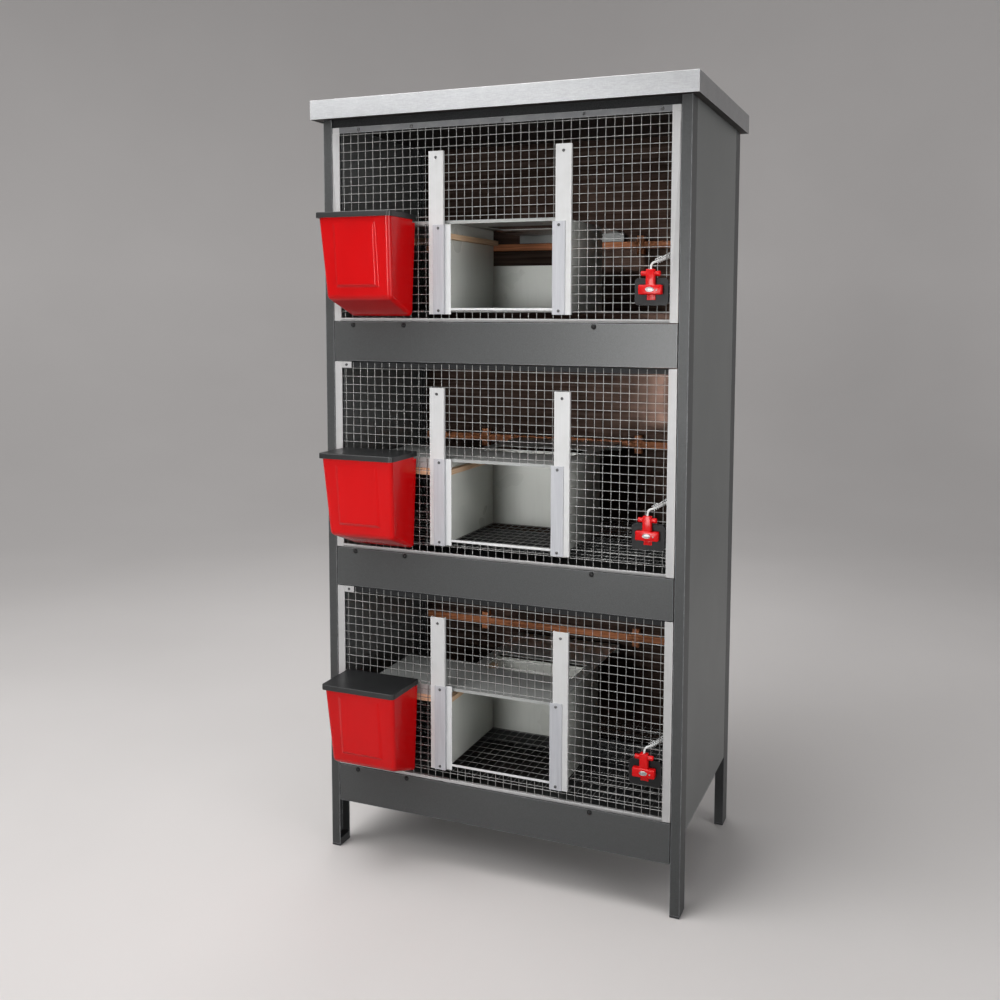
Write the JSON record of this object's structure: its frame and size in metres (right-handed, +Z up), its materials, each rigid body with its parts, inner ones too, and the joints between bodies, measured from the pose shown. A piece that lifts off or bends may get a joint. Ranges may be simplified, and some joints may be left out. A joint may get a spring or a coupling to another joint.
{
  "type": "pigeon cage",
  "caption": "Tiered pigeon cage on legs with welded mesh fronts, nest boxes, dropping drawers, hopper feeders with hinged lids and cup drinkers.",
  "frame": {"origin": "middle of the overall outline at floor level, under the feet", "axes": "+Z up, the mesh front faces -Y, +X to the right when the front is looked at"},
  "size_m": [0.898, 0.632, 1.768],
  "materials": {
    "graphite_paint": "fine structured powder coat",
    "drawer_paint": "fine structured powder coat",
    "roof_metal": "brushed zinc-coated sheet",
    "roof_core": "plain board",
    "back_board": "film-faced board",
    "foot_plastic": "matte",
    "galvanised_sheet": "zinc coated",
    "galvanised_wire": "zinc coated, welded",
    "white_strip": "satin white",
    "guide_metal": "satin",
    "nest_sheet": "satin pale grey",
    "batten_wood": "planed",
    "black_screw": "blackened",
    "red_plastic": "moulded gloss",
    "black_plastic": "moulded matte",
    "tube_plastic": "milky hose"
  },
  "bodies": {
    "cabinet": {"back_panel": "back_board", "drawer_runners": "galvanised_sheet", "foot_caps": "foot_plastic", "front_left_post": "graphite_paint", "front_right_post": "graphite_paint", "head_rails": "graphite_paint", "left_side_panel": "graphite_paint", "lower_battens": "batten_wood", "lower_door_guides": "guide_metal", "lower_door_rails": "white_strip", "lower_drinker_cup": "black_plastic", "lower_drinker_valve": "red_plastic", "lower_feeder_hopper": "red_plastic", "lower_floor_mesh": "galvanised_wire", "lower_front_mesh": "galvanised_wire", "lower_front_strips": "white_strip", "lower_nest_box": "nest_sheet", "lower_nest_top": "nest_sheet", "lower_water_tube": "tube_plastic", "middle_battens": "batten_wood", "middle_door_guides": "guide_metal", "middle_door_rails": "white_strip", "middle_drinker_cup": "black_plastic", "middle_drinker_valve": "red_plastic", "middle_feeder_hopper": "red_plastic", "middle_floor_mesh": "galvanised_wire", "middle_front_mesh": "galvanised_wire", "middle_front_strips": "white_strip", "middle_nest_box": "nest_sheet", "middle_nest_top": "nest_sheet", "middle_water_tube": "tube_plastic", "rear_left_post": "graphite_paint", "rear_right_post": "graphite_paint", "right_side_panel": "graphite_paint", "roof_board": "roof_core", "roof_tray": "roof_metal", "upper_battens": "batten_wood", "upper_door_guides": "guide_metal", "upper_door_rails": "white_strip", "upper_drinker_cup": "black_plastic", "upper_drinker_valve": "red_plastic", "upper_feeder_hopper": "red_plastic", "upper_floor_mesh": "galvanised_wire", "upper_front_mesh": "galvanised_wire", "upper_front_strips": "white_strip", "upper_nest_box": "nest_sheet", "upper_nest_top": "nest_sheet", "upper_water_tube": "tube_plastic"},
    "lower_drawer_unit": {"lower_drawer": "drawer_paint", "lower_drawer_knobs": "black_screw"},
    "lower_lid": {"lower_feeder_lid": "black_plastic"},
    "lower_trigger": {"lower_drinker_trigger": "red_plastic"},
    "middle_drawer_unit": {"middle_drawer": "drawer_paint", "middle_drawer_knobs": "black_screw"},
    "middle_lid": {"middle_feeder_lid": "black_plastic"},
    "middle_trigger": {"middle_drinker_trigger": "red_plastic"},
    "upper_drawer_unit": {"upper_drawer": "drawer_paint", "upper_drawer_knobs": "black_screw"},
    "upper_lid": {"upper_feeder_lid": "black_plastic"},
    "upper_trigger": {"upper_drinker_trigger": "red_plastic"}
  },
  "joints": [
    {"name": "lower_drawer_slide", "type": "slide", "parent": "cabinet", "child": "lower_drawer_unit", "axis": [0, -1, 0], "range_m": [0, 0.34]},
    {"name": "lower_lid_hinge", "type": "hinge", "parent": "cabinet", "child": "lower_lid", "pos_m": [-0.285, -0.2045, 0.439], "axis": [-1, 0, 0], "range_deg": [0, 90]},
    {"name": "lower_trigger_hinge", "type": "hinge", "parent": "cabinet", "child": "lower_trigger", "pos_m": [0.35, -0.178, 0.32], "axis": [-1, 0, 0], "range_deg": [0, 15]},
    {"name": "middle_drawer_slide", "type": "slide", "parent": "cabinet", "child": "middle_drawer_unit", "axis": [0, -1, 0], "range_m": [0, 0.34]},
    {"name": "middle_lid_hinge", "type": "hinge", "parent": "cabinet", "child": "middle_lid", "pos_m": [-0.285, -0.2045, 0.969], "axis": [-1, 0, 0], "range_deg": [0, 90]},
    {"name": "middle_trigger_hinge", "type": "hinge", "parent": "cabinet", "child": "middle_trigger", "pos_m": [0.35, -0.178, 0.831], "axis": [-1, 0, 0], "range_deg": [0, 15]},
    {"name": "upper_drawer_slide", "type": "slide", "parent": "cabinet", "child": "upper_drawer_unit", "axis": [0, -1, 0], "range_m": [0, 0.34]},
    {"name": "upper_lid_hinge", "type": "hinge", "parent": "cabinet", "child": "upper_lid", "pos_m": [-0.285, -0.2045, 1.499], "axis": [-1, 0, 0], "range_deg": [0, 90]},
    {"name": "upper_trigger_hinge", "type": "hinge", "parent": "cabinet", "child": "upper_trigger", "pos_m": [0.35, -0.178, 1.342], "axis": [-1, 0, 0], "range_deg": [0, 15]}
  ]
}
